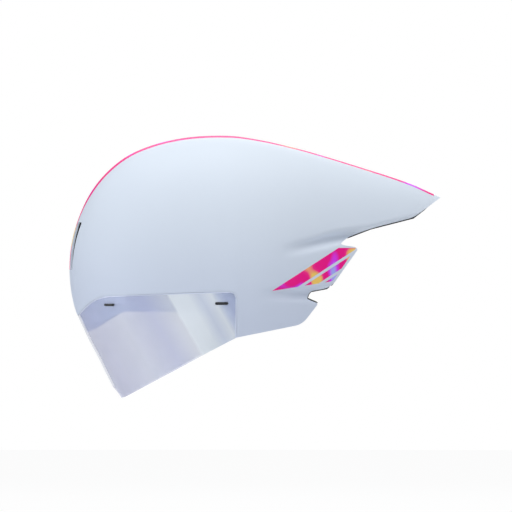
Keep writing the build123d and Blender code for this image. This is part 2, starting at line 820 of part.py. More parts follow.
nape_pad = arc_bar(
    pad_inner_radius, plate_inner_radius - 2 * seat_gap, -nape_pad_half_height, nape_pad_half_height,
    -nape_pad_half_angle, nape_pad_half_angle,
)


# Chin straps, one side at a time
def strap_leg(side, start, end):
    """A straight run of webbing between two places on the strap's upright plane."""
    run = Vector(end[0] - start[0], 0, end[1] - start[1])
    middle = Vector((start[0] + end[0]) / 2, side * strap_y, (start[1] + end[1]) / 2)
    with BuildPart() as leg:
        with BuildSketch(Plane(origin=middle, x_dir=run, z_dir=(0, 1, 0))):
            Rectangle(run.length, strap_width)
        extrude(amount=strap_thickness / 2, both=True)
    return leg.part


strap_top = lining_top - seat_gap - strap_anchor_height - strap_gap
legs_spread = strap_width / 2
buckle_back = buckle_x + buckle_length / 2 + strap_gap


def side_straps(side):
    front_foot = (divider_x - legs_spread, divider_z)
    rear_foot = (divider_x + legs_spread, divider_z)
    tail_start = (divider_x - divider_length / 2 - strap_gap, divider_z)
    with BuildPart() as straps:
        add(strap_leg(side, (front_anchor_x, strap_top), front_foot))
        add(strap_leg(side, (rear_anchor_x, strap_top), rear_foot))
        add(strap_leg(side, tail_start, (buckle_back, buckle_z)))
        with BuildSketch(Plane.XZ):
            with Locations((divider_x, divider_z)):
                Rectangle(divider_length + 2 * strap_gap, divider_height + 2 * strap_gap)
            with Locations((buckle_x, buckle_z)):
                Rectangle(buckle_length + 2 * strap_gap, buckle_height + 2 * strap_gap)
            with Locations((divider_x, strap_top)):
                Rectangle(overall_length, overrun, align=(Align.CENTER, Align.MIN))
        extrude(amount=overall_length, both=True, mode=Mode.SUBTRACT)
    return straps.part


def strap_divider(side):
    with BuildPart() as divider:
        with BuildSketch(Plane.XZ.offset(-side * strap_y - divider_depth / 2)):
            with Locations((divider_x, divider_z)):
                RectangleRounded(divider_length, divider_height, strap_gap * 10)
                with GridLocations(0, divider_height - 2 * divider_depth, 1, 2):
                    SlotOverall(divider_length - divider_depth * 2, strap_thickness * 2, mode=Mode.SUBTRACT)
        extrude(amount=divider_depth)
    return divider.part


with BuildPart() as strap_anchors:
    for side in (-1, 1):
        for place in (front_anchor_x, rear_anchor_x):
            with BuildSketch(Plane.XY.offset(lining_top - seat_gap)):
                with Locations((place, side * strap_y)):
                    RectangleRounded(strap_anchor_width, strap_anchor_depth, strap_thickness)
            extrude(amount=-strap_anchor_height)
            with BuildSketch(Plane.XY.offset(lining_top - seat_gap)):
                with Locations((place, side * strap_y)):
                    Circle(anchor_pin_radius)
            extrude(amount=anchor_pin_length)

prong_height = 4.0
buckle_wall = 1.6
buckle_sketch_offset = buckle_depth / 2

with BuildPart() as buckle_socket:
    with BuildSketch(Plane.XZ.offset(-strap_y - buckle_sketch_offset)):
        with Locations((buckle_x, buckle_z)):
            RectangleRounded(buckle_length, buckle_height, buckle_depth / 2)
    extrude(amount=buckle_depth)
    with BuildSketch(Plane.YZ.offset(buckle_x - buckle_length / 2)):
        with Locations((strap_y, buckle_z)):
            Rectangle(buckle_depth - 2 * buckle_wall, buckle_height - 4 * buckle_wall)
    extrude(amount=buckle_length * 0.7, mode=Mode.SUBTRACT)
    with BuildSketch(Plane.XZ.offset(-strap_y - buckle_sketch_offset)):
        with Locations((buckle_x + buckle_length / 2 - buckle_wall * 2, buckle_z)):
            SlotOverall(strap_width, strap_thickness * 2, rotation=90)
    extrude(amount=buckle_depth, mode=Mode.SUBTRACT)

with BuildPart() as buckle_plug:
    with BuildSketch(Plane.XZ.offset(strap_y - buckle_sketch_offset + buckle_wall)):
        with Locations((buckle_x + buckle_length / 3, buckle_z)):
            RectangleRounded(buckle_length / 3, buckle_height, buckle_wall)
        for level in (-1, 0, 1):
            with Locations((buckle_x + buckle_length / 6, buckle_z + level * (buckle_height - prong_height) / 2)):
                Rectangle(buckle_length * 0.6, prong_height - buckle_wall, align=(Align.MAX, Align.CENTER))
        with Locations((buckle_x + buckle_length / 2 - buckle_wall * 2, buckle_z)):
            SlotOverall(strap_width, strap_thickness * 2, rotation=90, mode=Mode.SUBTRACT)
    extrude(amount=buckle_depth - 2 * buckle_wall)


pieces = {
    "outer_shell": outer_shell.part,
    "shell_magnets": shell_magnets.part,
    "visor": visor.part,
    "visor_magnets": visor_magnets.part,
    "eps_liner": eps_liner.part,
    "brow_pad": brow_pad,
    "crown_pads": crown_pads.part,
    "side_pad_left": side_pad(-1),
    "side_pad_right": side_pad(1),
    "nape_pad": nape_pad,
    "cradle_yoke": cradle_yoke.part,
    "dial_cover": dial_cover.part,
    "height_keeper": height_keeper.part,
    "temple_guide_left": temple_guide(-1),
    "temple_guide_right": temple_guide(1),
    "temple_anchor_left": temple_anchor(-1),
    "temple_anchor_right": temple_anchor(1),
    "band_left": band_left,
    "band_right": band_right,
    "dial_knob": dial_knob.part,
    "dial_pinion": dial_pinion.part,
    "dial_screw": dial_screw.part,
    "chin_straps_left": side_straps(-1),
    "chin_straps_right": side_straps(1),
    "strap_divider_left": strap_divider(-1),
    "strap_divider_right": strap_divider(1),
    "strap_anchors": strap_anchors.part,
    "buckle_socket": buckle_socket.part,
    "buckle_plug": buckle_plug.part,
}
for name, piece in pieces.items():
    piece.label = name
    export_step(piece, f"parts/{name}.step")
    print(name, round(piece.volume), len(piece.solids()))
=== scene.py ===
# %% [markdown]
# # Looks of an aero time trial helmet
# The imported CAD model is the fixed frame. Each cell below gives one part of the helmet its finish, or makes
# a soft piece that stands for its plain CAD solid. Lengths are in metres unless a comment says mm. The front
# faces -X, +Y is the wearer's right and up is +Z.

# %% Load the frame
import json
import math
import bpy
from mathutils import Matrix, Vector


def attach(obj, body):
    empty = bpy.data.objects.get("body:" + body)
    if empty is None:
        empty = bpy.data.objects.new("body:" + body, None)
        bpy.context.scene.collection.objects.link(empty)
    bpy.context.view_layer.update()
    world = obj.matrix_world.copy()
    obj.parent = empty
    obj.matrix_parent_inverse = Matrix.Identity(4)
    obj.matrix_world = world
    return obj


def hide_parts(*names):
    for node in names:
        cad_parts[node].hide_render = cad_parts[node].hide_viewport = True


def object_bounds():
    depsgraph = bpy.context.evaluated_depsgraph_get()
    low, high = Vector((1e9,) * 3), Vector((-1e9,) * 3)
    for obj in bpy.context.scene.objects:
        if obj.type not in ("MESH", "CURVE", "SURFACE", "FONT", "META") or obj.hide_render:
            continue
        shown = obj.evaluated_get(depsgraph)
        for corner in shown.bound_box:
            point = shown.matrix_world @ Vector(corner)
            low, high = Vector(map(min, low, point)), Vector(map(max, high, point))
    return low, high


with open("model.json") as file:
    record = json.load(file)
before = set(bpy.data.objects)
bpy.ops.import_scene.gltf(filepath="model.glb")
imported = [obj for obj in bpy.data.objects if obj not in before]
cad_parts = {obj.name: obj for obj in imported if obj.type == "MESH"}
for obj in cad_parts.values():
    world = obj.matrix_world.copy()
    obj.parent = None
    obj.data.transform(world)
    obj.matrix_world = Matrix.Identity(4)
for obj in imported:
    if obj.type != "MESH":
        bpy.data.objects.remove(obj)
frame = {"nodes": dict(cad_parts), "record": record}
nodes = frame["nodes"]
cad_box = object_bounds()
print("nodes", len(nodes), "box", [[round(v, 3) for v in corner] for corner in cad_box])

# %% [markdown]
# ## Shader maths as expressions
# A material's pattern is arithmetic on coordinates. One small class wraps an output socket, so that adding or
# comparing two of them adds the Math node, and the pattern reads as a formula.

# %% Sockets
class Wire:
    """An output socket of a graph, with arithmetic."""

    def __init__(self, graph, socket):
        self.graph = graph
        self.socket = socket

    def math(self, operation, *others):
        values = dict(enumerate((self,) + others))
        return self.graph.node("ShaderNodeMath", {"operation": operation}, values)

    def __add__(self, other):
        return self.math("ADD", other)

    def __sub__(self, other):
        return self.math("SUBTRACT", other)

    def __rsub__(self, other):
        return self.math("MULTIPLY", -1.0) + other

    def __mul__(self, other):
        return self.math("MULTIPLY", other)

    def __gt__(self, other):
        return self.math("GREATER_THAN", other)

    def __lt__(self, other):
        return self.math("LESS_THAN", other)

    def __abs__(self):
        return self.math("ABSOLUTE")

    __radd__ = __add__
    __rmul__ = __mul__

    def rise(self, low, high):
        """0 at low, 1 at high, smooth between and level beyond."""
        ends = {"Value": self, "From Min": low, "From Max": high}
        return self.graph.node("ShaderNodeMapRange", {"interpolation_type": "SMOOTHSTEP"}, ends)

    def beside(self, output):
        """Another output of the same node."""
        return Wire(self.graph, self.socket.node.outputs[output])

# %% [markdown]
# ## Graphs and paints
# Every node of a material or of the world comes from one method. It takes the node's type, its settings and
# what goes into its sockets, and gives back one of its outputs.

# %% Graphs and paints
class Graph:
    """A node tree with one method that makes its nodes."""

    def __init__(self, tree):
        self.tree = tree

    def node(self, kind, settings=None, sockets=None, output=0):
        made = self.tree.nodes.new(kind)
        for name, value in (settings or {}).items():
            if name == "stops":
                self.fill_ramp(made.color_ramp, value)
            else:
                setattr(made, name, value)
        for name, value in (sockets or {}).items():
            self.feed(made.inputs[name], value)
        return Wire(self, made.outputs[output])

    def fill_ramp(self, ramp, stops):
        while len(ramp.elements) < len(stops):
            ramp.elements.new(1.0)
        for element, (place, colour) in zip(ramp.elements, stops):
            element.position = place
            element.color = colour

    def feed(self, socket, value):
        if isinstance(value, Wire):
            self.tree.links.new(value.socket, socket)
        else:
            socket.default_value = value


class Paint(Graph):
    """A material with one Principled shader."""

    def __init__(self, name, **values):
        self.material = bpy.data.materials.new(name)
        self.material.use_nodes = True
        super().__init__(self.material.node_tree)
        self.shader = self.tree.nodes["Principled BSDF"]
        self.set(**values)

    def set(self, **values):
        for name, value in values.items():
            self.feed(self.shader.inputs[name.replace("_", " ")], value)

    def point(self):
        """Object coordinates in metres."""
        return self.node("ShaderNodeTexCoord", output="Object")

    def place(self):
        """Object coordinates as three numbers."""
        parts = self.node("ShaderNodeSeparateXYZ", sockets={0: self.point()})
        return [parts.beside(axis) for axis in range(3)]

    def mix(self, share, first, second):
        """Two colours mixed. A Mix node has sockets for each kind of value: its colours are 6, 7 and 2."""
        return self.node("ShaderNodeMix", {"data_type": "RGBA"}, {0: share, 6: first, 7: second}, output=2)

    def noise(self, scale, detail=3.0):
        return self.node("ShaderNodeTexNoise", {}, {"Vector": self.point(), "Scale": scale, "Detail": detail})

    def bump(self, height, depth, strength=1.0):
        made = self.node("ShaderNodeBump", {}, {"Height": height, "Distance": depth, "Strength": strength})
        self.set(Normal=made)

# %% [markdown]
# ## Camera
# The photograph looks square on at the wearer's left side. A long lens from far off keeps the side's outline
# as flat as it is there, so both are worked out from the width of the frame at the helmet's middle.

# %% Camera
FRAME_WIDTH = 0.5325
FRAME_MIDDLE_X = 0.0707
FRAME_MIDDLE_Z = 0.0021
CAMERA_AWAY = 8.0
CAMERA_SEES_TO = 40
SENSOR = 36.0  # mm

camera_data = bpy.data.cameras.new("camera")
camera_data.sensor_width = SENSOR
camera_data.lens = SENSOR * CAMERA_AWAY / FRAME_WIDTH
camera_data.clip_end = CAMERA_SEES_TO
camera = bpy.data.objects.new("camera", camera_data)
camera.location = (FRAME_MIDDLE_X, -CAMERA_AWAY, FRAME_MIDDLE_Z)
camera.rotation_euler = (math.pi / 2, 0, 0)
bpy.context.scene.collection.objects.link(camera)
bpy.context.scene.camera = camera
bpy.context.scene.view_settings.view_transform = "Standard"
print("lens", round(camera_data.lens, 1), "mm")

# %% [markdown]
# ## Lamps
# Product photographs on white use large soft lamps. All four aim at the helmet's middle. The one above is the
# strongest, and those at the side and the front are a little blue, so that the flanks look cool.

# %% Lamps
# Name, place, width, power in watts, colour
LAMPS = (
    ("lamp_above", (0.1, -0.25, 1.7), 1.9, 23.5, (0.98, 1.0, 0.97)),
    ("lamp_side", (0.3, -1.9, 0.2), 1.6, 4.3, (0.88, 0.94, 1.0)),
    ("lamp_front", (-1.7, -0.7, 0.1), 1.3, 9.2, (0.91, 0.95, 1.0)),
    ("lamp_back", (0.2, 1.6, 0.9), 1.4, 8.0, (1.0, 1.0, 1.0)),
)
middle = (cad_box[0] + cad_box[1]) / 2


def soft_lamp(name, place, width, power, colour):
    data = bpy.data.lights.new(name, "AREA")
    data.shape = "DISK"
    data.size = width
    data.energy = power
    data.color = colour
    lamp = bpy.data.objects.new(name, data)
    lamp.location = place
    lamp.rotation_euler = (middle - Vector(place)).to_track_quat("-Z", "Y").to_euler()
    bpy.context.scene.collection.objects.link(lamp)


for lamp_row in LAMPS:
    soft_lamp(*lamp_row)
print(len(LAMPS), "lamps, in all", round(sum(row[3] for row in LAMPS), 1), "W")

# %% [markdown]
# ## World
# The background is white in itself. The world is white to the camera and through whatever is clear, and
# dimmer as a light and in reflections, so the shell keeps its soft shading.

# %% World
WHITE = (1.0, 1.0, 1.0, 1.0)
WORLD_COLOUR = (0.90, 0.94, 1.0, 1.0)
WORLD_STRENGTH = 0.38

world = bpy.data.worlds.new("studio")
bpy.context.scene.world = world
world.use_nodes = True
sky = Graph(world.node_tree)
background = sky.tree.nodes["Background"]
sky.feed(background.inputs["Color"], WORLD_COLOUR)
sky.feed(background.inputs["Strength"], WORLD_STRENGTH)
dim = Wire(sky, background.outputs[0])
white = sky.node("ShaderNodeBackground", {}, {"Color": WHITE, "Strength": 1.0})
camera_ray = sky.node("ShaderNodeLightPath", output="Is Camera Ray")
seen = camera_ray.math("MAXIMUM", camera_ray.beside("Is Transmission Ray"))
choice = sky.node("ShaderNodeMixShader", {}, {0: seen, 1: dim, 2: white})
sky.feed(sky.tree.nodes["World Output"].inputs[0], choice)
print("world lights at", WORLD_STRENGTH)

# %% [markdown]
# ## Floor
# The floor is nearly white to the camera from above, where the rest of its look is its own colour with the
# helmet's shadow on it. It is clear from below, so the liner can be looked at from there.

# %% Floor
FLOOR_Z = -0.30
FLOOR_RADIUS = 4.0
FLOOR_COLOUR = (0.85, 0.86, 0.88, 1.0)
FLOOR_GLOW_SHARE = 0.95

bpy.ops.object.select_all(action="DESELECT")
bpy.ops.mesh.primitive_circle_add(
    vertices=96, radius=FLOOR_RADIUS, fill_type="NGON", location=(0, 0, FLOOR_Z))
floor = bpy.context.object
floor.name = "floor"
floor_paint = Paint("floor_white", Base_Color=FLOOR_COLOUR, Roughness=0.9)
matt = Wire(floor_paint, floor_paint.shader.outputs[0])
glow = floor_paint.node("ShaderNodeEmission")
to_camera = floor_paint.node("ShaderNodeLightPath", output="Is Camera Ray") * FLOOR_GLOW_SHARE
above = floor_paint.node("ShaderNodeMixShader", {}, {0: to_camera, 1: matt, 2: glow})
clear = floor_paint.node("ShaderNodeBsdfTransparent")
from_below = floor_paint.node("ShaderNodeNewGeometry", output="Backfacing")
surface = floor_paint.node("ShaderNodeMixShader", {}, {0: from_below, 1: above, 2: clear})
floor_paint.feed(floor_paint.tree.nodes["Material Output"].inputs[0], surface)
floor.data.materials.append(floor_paint.material)
print("floor at", FLOOR_Z)

# %% [markdown]
# ## Stations of the body
# The outer surface is one form: a dome swept as a fan about a line under the ears, and a tail that tapers
# behind it. Each station of it has a way along the form, a reach up from that line and a half width. The
# visor's front is a straight rake, so the reach there follows from the rake's line.

# %% Stations
MM = 0.001
HUB = Vector((55.0, 0.0, -112.0)) * MM
BROW = Vector((-108.2, 0.0, -73.8)) * MM
CROWN_REACH = 238.0 * MM
HALF_WIDTH = 102.0 * MM
TAIL_END_X = 267.0 * MM
RAKE = math.tan(math.radians(26.4))
# Raked front: angle of the fan in degrees, then half width as a share
RAKED_ANGLES = ((204, 0.82), (196, 0.843), (188, 0.865), (181, 0.888), (175, 0.906))
# Dome: angle of the fan, then reach and half width as shares. Tail: way to its end, then the same.
DOME = (
    (167, 0.7035, 0.927), (161, 0.766, 0.943), (155, 0.821, 0.957), (149, 0.873, 0.968),
    (143, 0.921, 0.977), (137, 0.963, 0.981), (131, 1.001, 0.984), (125, 1.027, 0.987),
    (118.5, 1.0415, 0.991), (112, 1.0385, 0.994), (105, 1.0275, 0.998), (97.5, 1.0135, 1.0),
)
TAIL = (
    (0.0, 1.0, 1.0), (0.118, 0.982, 0.975), (0.236, 0.958, 0.915), (0.354, 0.930, 0.825),
    (0.590, 0.866, 0.615), (0.825, 0.797, 0.405), (1.0, 0.727, 0.25),
)


def raked_reach(angle):
    """Reach of the straight raked front of the visor at an angle of the fan."""
    turn = math.radians(angle)
    run = BROW.x - HUB.x + RAKE * (BROW.z - HUB.z)
    return run / (math.cos(turn) + RAKE * math.sin(turn))


def dome_way(angle):
    return math.radians(90 - angle) * CROWN_REACH


stations = [(dome_way(angle), raked_reach(angle), width * HALF_WIDTH) for angle, width in RAKED_ANGLES]
stations += [(dome_way(angle), reach * CROWN_REACH, width * HALF_WIDTH) for angle, reach, width in DOME]
tail_run = TAIL_END_X - HUB.x
stations += [(way * tail_run, reach * CROWN_REACH, width * HALF_WIDTH) for way, reach, width in TAIL]
print("stations", len(stations), "from", round(stations[0][0], 3), "to", round(stations[-1][0], 3))

# %% [markdown]
# ## Between the stations, and the section
# A cubic through the stations gives the reach and the half width at any place. The section at each place
# stands on a steep flank that tucks in a little towards its foot, and closes over the crown in a squarish arc.

# %% Curves
WIDEST = 0.30
TUCK = 0.07
LOW_LEVEL = 0.04
FLANK_SHARE = 0.22
UPWARD_POWER = 2.05
ACROSS_POWER = 2.15


def along(rows, place, column):
    """A column's smooth value at a place: a cubic between the two nearest rows."""
    index = 1
    while index < len(rows) - 1 and place > rows[index][0]:
        index += 1
    low, high = rows[index - 1], rows[index]
    before = rows[max(index - 2, 0)]
    after = rows[min(index + 1, len(rows) - 1)]
    span = high[0] - low[0]
    share = min(1.0, max(0.0, (place - low[0]) / span))
    leave = (high[column] - before[column]) / (high[0] - before[0]) * span
    arrive = (after[column] - low[column]) / (after[0] - low[0]) * span
    squared, cubed = share ** 2, share ** 3
    return (
        low[column] * (2 * cubed - 3 * squared + 1) + leave * (cubed - 2 * squared + share)
        + high[column] * (3 * squared - 2 * cubed) + arrive * (cubed - squared)
    )


def soft_step(share):
    share = min(1.0, max(0.0, share))
    return share * share * (3 - 2 * share)


def profile(climb):
    """Half width and height of a section as shares, from its foot at 0 to its crown at 1."""
    if climb < FLANK_SHARE:
        level = LOW_LEVEL + (WIDEST - LOW_LEVEL) * climb / FLANK_SHARE
        return 1 - TUCK + TUCK * soft_step(level / WIDEST), level
    turn = math.pi / 2 * (climb - FLANK_SHARE) / (1 - FLANK_SHARE)
    across = max(0.0, math.cos(turn)) ** (2 / ACROSS_POWER)
    return across, WIDEST + (1 - WIDEST) * math.sin(turn) ** (2 / UPWARD_POWER)


print("section at a quarter, half and the top", [[round(v, 3) for v in profile(c)] for c in (0.25, 0.5, 1.0)])

# %% [markdown]
# ## Valleys and the form's points
# Two valleys part the tail, the middle fin and the lower fin. Each rises steeply above its path and gently
# below it. With them, one rule places every point of the form, and it gives the shell, the flange behind the
# visor and the visor, each drawn in by its own depth.

# %% Points of the form
# Upper and lower valley: x and z of the path and its depth, in mm
VALLEYS = (
    ((96, 7.5, 0), (108, 10.3, 2), (125, 14.6, 5), (150, 21.3, 8), (165, 24, 9), (189, 27.5, 7), (215, 34, 4),
     (240, 41, 1.5), (267, 48, 0)),
    ((72, -37, 0), (90, -36, 2.5), (110, -36, 5), (130, -35.5, 7), (150, -34, 8.8), (170, -33, 9)),
)
ABOVE_VALLEY = 6.5
BELOW_VALLEY = 10.5


def valley_depth(x, z):
    depth = 0.0
    for path in VALLEYS:
        if path[0][0] < x / MM < path[-1][0]:
            way = z / MM - along(path, x / MM, 1)
            way = way / (ABOVE_VALLEY if way > 0 else BELOW_VALLEY)
            if abs(way) < 1:
                depth += along(path, x / MM, 2) * MM * (1 - way * way) ** 2
    return depth


def body_point(way, across, inset):
    """A place on the form: way along the stations, across from one foot at -1 over the crown to +1."""
    half, level = profile(1 - abs(across))
    reach = along(stations, way, 1) - inset
    width = (along(stations, way, 2) - inset) * half
    if way < 0:
        turn = math.pi / 2 - way / CROWN_REACH
        x = HUB.x + math.cos(turn) * reach * level
        z = HUB.z + math.sin(turn) * reach * level
    else:
        x = HUB.x + way
        z = HUB.z + reach * level
    width = max(0.0, width - valley_depth(x, z))
    return Vector((x, math.copysign(width, across), z))


print("crown at", round(body_point(0.0, 0.0, 0.0).z, 4))

# %% [markdown]
# ## Skins
# A grid primitive gives even quads, and each of its points is then placed by the form's rule, because no
# single edit tool makes a section that changes all along its way. Solidify gives the skin its wall.

# %% Skins
def only(piece):
    """Select and activate one object alone."""
    bpy.ops.object.select_all(action="DESELECT")
    piece.select_set(True)
    bpy.context.view_layer.objects.active = piece


def remake(piece, steps):
    """Run edit mode operators on the whole of a piece."""
    only(piece)
    bpy.ops.object.mode_set(mode="EDIT")
    bpy.ops.mesh.select_all(action="SELECT")
    steps()
    bpy.ops.object.mode_set(mode="OBJECT")


def face_outward():
    bpy.ops.mesh.normals_make_consistent(inside=False)


def modify(piece, kind, **settings):
    """Add a modifier and apply it."""
    only(piece)
    modifier = piece.modifiers.new(kind.lower(), kind)
    for name, value in settings.items():
        setattr(modifier, name, value)
    bpy.ops.object.modifier_apply(modifier=modifier.name)


def skin(name, first_angle, last, inset, wall, rows, columns):
    """A wall along the form, from an angle of the fan to a way behind the hub."""
    bpy.ops.object.select_all(action="DESELECT")
    bpy.ops.mesh.primitive_grid_add(x_subdivisions=rows, y_subdivisions=columns, size=2)
    piece = bpy.context.object
    piece.name = name
    start = dome_way(first_angle)
    for vertex in piece.data.vertices:
        way = start + (last - start) * (vertex.co.x + 1) / 2
        vertex.co = body_point(way, vertex.co.y, inset)
    remake(piece, face_outward)
    crown = max(piece.data.polygons, key=lambda face: face.center.z)
    if crown.normal.z < 0:
        remake(piece, bpy.ops.mesh.flip_normals)
    modify(piece, "SOLIDIFY", thickness=wall, offset=-1.0)
    return piece

# %% [markdown]
# ## Cutting a piece out of its skin
# A side outline, with its corners rounded, is extruded across the helmet as a block, and a Boolean keeps what
# lies inside it. That is how a moulded shell is trimmed as well, so its edges come out crisp.

# %% Cutters
ROUNDING_STEPS = 8
HALF_SPAN = 0.15
FRONT_REACH = 0.2


def rounded(outline):
    """An outline's points, each corner with a rounding cut back by the row's third number."""
    points = []
    for index, (x, z, cut_back) in enumerate(outline):
        corner = Vector((x, z))
        if not cut_back:
            points.append(corner)
            continue
        before = Vector(outline[index - 1][:2])
        after = Vector(outline[(index + 1) % len(outline)][:2])
        start = corner + (before - corner).normalized() * cut_back
        end = corner + (after - corner).normalized() * cut_back
        for step in range(ROUNDING_STEPS + 1):
            share = step / ROUNDING_STEPS
            points.append(start.lerp(corner, share).lerp(corner.lerp(end, share), share))
    return points


def block(outline, axis, low, high):
    """An outline in mm extruded along y or x, as a cutter."""
    points = rounded(outline)
    if axis == "Y":
        places = [(point.x * MM, low, point.y * MM) for point in points]
        run = (0, high - low, 0)
    else:
        places = [(low, point.x * MM, point.y * MM) for point in points]
        run = (high - low, 0, 0)
    mesh = bpy.data.meshes.new("cutter")
    mesh.from_pydata(places, [], [range(len(places))])
    cutter = bpy.data.objects.new("cutter", mesh)
    bpy.context.scene.collection.objects.link(cutter)

    def thicken():
        bpy.ops.mesh.extrude_region_move(TRANSFORM_OT_translate={"value": run})
        bpy.ops.mesh.select_all(action="SELECT")
        face_outward()
    remake(cutter, thicken)
    return cutter


def cut(piece, cutter, operation):
    modify(piece, "BOOLEAN", object=cutter, operation=operation, solver="EXACT")
    bpy.data.objects.remove(cutter)


def keep_inside(piece, outline):
    cut(piece, block(outline, "Y", -HALF_SPAN, HALF_SPAN), "INTERSECT")


def open_front(piece, outline):
    """Cut an outline of y and z through the front of a piece."""
    cut(piece, block(outline, "X", -FRONT_REACH, 0.0), "DIFFERENCE")


def rectangle(x, z, length, height, cut_back):
    """A rectangle's outline round its middle."""
    half, rise = length / 2, height / 2
    return (
        (x - half, z - rise, cut_back), (x + half, z - rise, cut_back),
        (x + half, z + rise, cut_back), (x - half, z + rise, cut_back),
    )

# %% [markdown]
# ## Printed colours
# The accents are printed in colours that drift into each other: one noise picks the place on a ramp of five.

# %% Printed colours
def from_screen(red, green, blue):
    """A colour as a screen shows it, 0 to 255, in the linear values that a shader takes."""
    def linear(level):
        share = level / 255
        return share / 12.92 if share <= 0.04045 else ((share + 0.055) / 1.055) ** 2.4
    return (linear(red), linear(green), linear(blue), 1.0)


AZURE = from_screen(150, 196, 255)
ORCHID = from_screen(224, 60, 248)
MAGENTA = from_screen(250, 0, 138)
ROSE = from_screen(255, 40, 140)
APRICOT = from_screen(255, 208, 104)
PRINT_ORDER = (AZURE, ORCHID, MAGENTA, MAGENTA, ROSE, APRICOT)


def printed(paint, scale, detail, places):
    """The printed colours, each at its place of a noise."""
    stops = list(zip(places, PRINT_ORDER))
    return paint.node("ShaderNodeValToRGB", {"stops": stops}, {"Fac": paint.noise(scale, detail)})


print("magenta", [round(level, 3) for level in MAGENTA])

# %% [markdown]
# ## Where the print goes
# The print is a mask of coordinates, so it stays where it is as the shell's mesh changes. The stripe runs over
# the crown: narrow at the brow, wide on the dome and tapering to the tail. Three slanted bars cross each
# middle fin, and stop short of its rear edge.

# %% Masks of the print
STRIPE_HALF = 0.0190
STRIPE_NOSE_HALF = 0.0135
STRIPE_TAIL_HALF = 0.0065
STRIPE_NOSE_Z = 0.036
STRIPE_NOSE_RUN = 0.034
STRIPE_FOOT_Z = -0.012
STRIPE_TAPER_X = 0.040
STRIPE_END_X = 0.2555
# Behind this x the stripe stays above a sloping line, off the underside of the tail
STRIPE_FRONT_X = -0.02
TAIL_LINE_SLOPE = 0.33
TAIL_LINE_Z = 0.108


def stripe_mask(x, y, z):
    on_dome = z.rise(STRIPE_NOSE_Z, STRIPE_NOSE_Z + STRIPE_NOSE_RUN)
    half = on_dome * (STRIPE_HALF - STRIPE_NOSE_HALF) + STRIPE_NOSE_HALF
    taper = (x - STRIPE_TAPER_X).math("DIVIDE", STRIPE_END_X - STRIPE_TAPER_X)
    taper = taper.math("MAXIMUM", 0.0).math("MINIMUM", 1.0)
    half = half - taper * (STRIPE_HALF - STRIPE_TAIL_HALF)
    in_width = (abs(y) - half) < 0.0
    in_length = (z > STRIPE_FOOT_Z) * (x < STRIPE_END_X)
    on_top = (z + x * TAIL_LINE_SLOPE - TAIL_LINE_Z) > 0.0
    return in_width * in_length * on_top.math("MAXIMUM", x < STRIPE_FRONT_X)


BAR_SLANT = 1.55
BAR_FOOT = Vector((0.0900, 0.0, -0.0320))
BAR_FOOT_RISE = 0.16
BAR_FOOT_LEVEL = -0.0478
BAR_TOP_Z = 0.0105
BARS = ((0.0, 0.020), (0.025, 0.011), (0.041, 0.005))  # start and width of each
FIN_REAR = Vector((0.1507, 0.0, -0.0266))
FIN_REAR_SLANT = 0.7095
FIN_MARGIN = 0.003
FIN_FRONT_Y = 0.035


def bars_mask(x, y, z):
    way = (x - BAR_FOOT.x) - (z - BAR_FOOT.z) * BAR_SLANT
    bars = [(way > start) * (way < start + width) for start, width in BARS]
    rear_edge = (x - FIN_REAR.x) - (z - FIN_REAR.z) * FIN_REAR_SLANT
    foot = z - x * BAR_FOOT_RISE
    on_fin = (foot > BAR_FOOT_LEVEL) * (z < BAR_TOP_Z) * (abs(y) > FIN_FRONT_Y)
    return sum(bars[1:], bars[0]) * on_fin * (rear_edge < -FIN_MARGIN)


print("stripe", STRIPE_HALF * 2 / MM, "mm wide,", len(BARS), "bars")

# %% [markdown]
# ## Shell's lacquer
# White lacquer is never one flat value. A slow cloud shifts it slightly, its lower part is painted a little
# bluer and darker as the shade that light from above leaves there, and a fine peel breaks up the highlights.

# %% Lacquer
CLOUD_SCALE = 7.0
# Painted shade: the heights between which the lower part of the shell is painted darker and bluer, and how much
LOW_SHADE_TOP = 0.06
LOW_SHADE_FOOT = -0.09
LOW_SHADE_SHARE = 0.55
PEEL_SCALE = 900.0
PEEL_DEPTH = 0.00002


def shell_paint():
    paint = Paint("shell_lacquer", Roughness=0.5, IOR=1.38)
    x, y, z = paint.place()
    white = paint.mix(paint.noise(CLOUD_SCALE), from_screen(221, 228, 239), from_screen(224, 231, 242))
    # Painted shade: the lower part turns darker and bluer towards the foot
    low = z.rise(LOW_SHADE_TOP, LOW_SHADE_FOOT) * LOW_SHADE_SHARE
    white = paint.mix(low, white, from_screen(198, 205, 228))
    stripe_print = printed(paint, 22.0, 1.0, (0.30, 0.36, 0.43, 0.57, 0.63, 0.70))
    bar_print = printed(paint, 44.0, 0.0, (0.26, 0.33, 0.42, 0.57, 0.64, 0.72))
    colour = paint.mix(stripe_mask(x, y, z), white, stripe_print)
    paint.set(Base_Color=paint.mix(bars_mask(x, y, z), colour, bar_print))
    paint.bump(paint.noise(PEEL_SCALE, 2.0), PEEL_DEPTH, 0.4)
    return paint


shell_lacquer = shell_paint()
print(shell_lacquer.material.name, len(shell_lacquer.tree.nodes), "nodes")

# %% [markdown]
# ## Shell
# The shell is one moulding with an open front and two vent slots beside the stripe. The finished piece stands
# for its CAD node, rides on that node's body and gets the shell's paint as its material.

# %% Shell
# Side outline of the shell: x, z and the rounding of each corner, in mm
SHELL_OUTLINE = (
    (-130.1, -75.5, 0), (-95.2, -39.3, 16), (-27.0, -36.6, 12), (46.0, -34.1, 3.5),
    (51.2, -40.0, 3.5), (50.6, -81.8, 1), (114.7, -68.9, 3.6), (120.9, -64.9, 3.6), (134.8, -47.0, 2.2),
    (123.2, -42.0, 1.2), (124.7, -37.0, 2.0), (127.8, -34.1, 1.5), (143.6, -31.2, 4),
    (150.7, -26.6, 4), (176.1, 9.2, 2.2), (172.5, 11.5, 1.5), (161.7, 13.1, 2.0), (157.7, 14.6, 2.0),
    (165.6, 21.6, 5), (189.2, 30.6, 12), (233.7, 42.0, 6), (245.4, 50.2, 6), (263.1, 63.3, 8),
    (277.2, 74.1, 0), (277.2, 150.0, 0), (-150.0, 150.0, 0), (-150.0, -75.5, 0),
)
